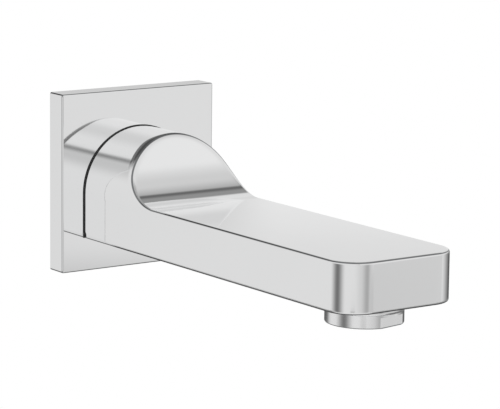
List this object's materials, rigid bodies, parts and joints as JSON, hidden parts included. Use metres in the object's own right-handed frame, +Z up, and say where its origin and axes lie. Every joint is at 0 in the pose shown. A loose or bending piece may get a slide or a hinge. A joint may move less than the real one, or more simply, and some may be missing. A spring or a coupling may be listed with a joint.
{
  "type": "bath spout",
  "caption": "Wall-mounted bath spout: square flange, arched root that sweeps down into a flat blade with round tip corners, and a threaded jet former under the tip.",
  "frame": {"origin": "centre of the wall flange's back, on the nipple's axis in the plane of the wall", "axes": "+Y into the wall, -Y along the spout towards its tip, +Z up, X across the spout"},
  "size_m": [0.0806, 0.2183, 0.0806],
  "materials": {
    "polished_chrome": "polished plating on brass",
    "turned_brass": "turned, uncoated",
    "black_rubber": "matte",
    "foam_seal": "closed-cell foam",
    "stainless": "turned stainless steel",
    "screen_steel": "etched stainless sheet",
    "white_plastic": "moulded",
    "grey_plastic": "moulded",
    "blue_plastic": "moulded"
  },
  "bodies": {
    "root": {"spout_body": "polished_chrome", "wall_flange": "polished_chrome", "flange_wall_gasket": "foam_seal", "flange_centring_ring": "black_rubber", "root_gap_seal": "black_rubber", "connection_nipple": "turned_brass", "nipple_thread_seal": "black_rubber", "nipple_o_ring_rear": "black_rubber", "nipple_o_ring_front": "black_rubber", "grub_screw": "stainless", "grub_screw_cap": "polished_chrome", "aerator_housing": "polished_chrome", "aerator_gasket": "black_rubber", "aerator_cartridge_shell": "white_plastic", "aerator_honeycomb": "grey_plastic", "aerator_screen_lower": "screen_steel", "aerator_screen_upper": "screen_steel", "aerator_jet_plate": "grey_plastic", "aerator_regulator_plate": "blue_plastic", "aerator_regulator_ring": "black_rubber", "aerator_strainer": "white_plastic"}
  },
  "joints": []
}
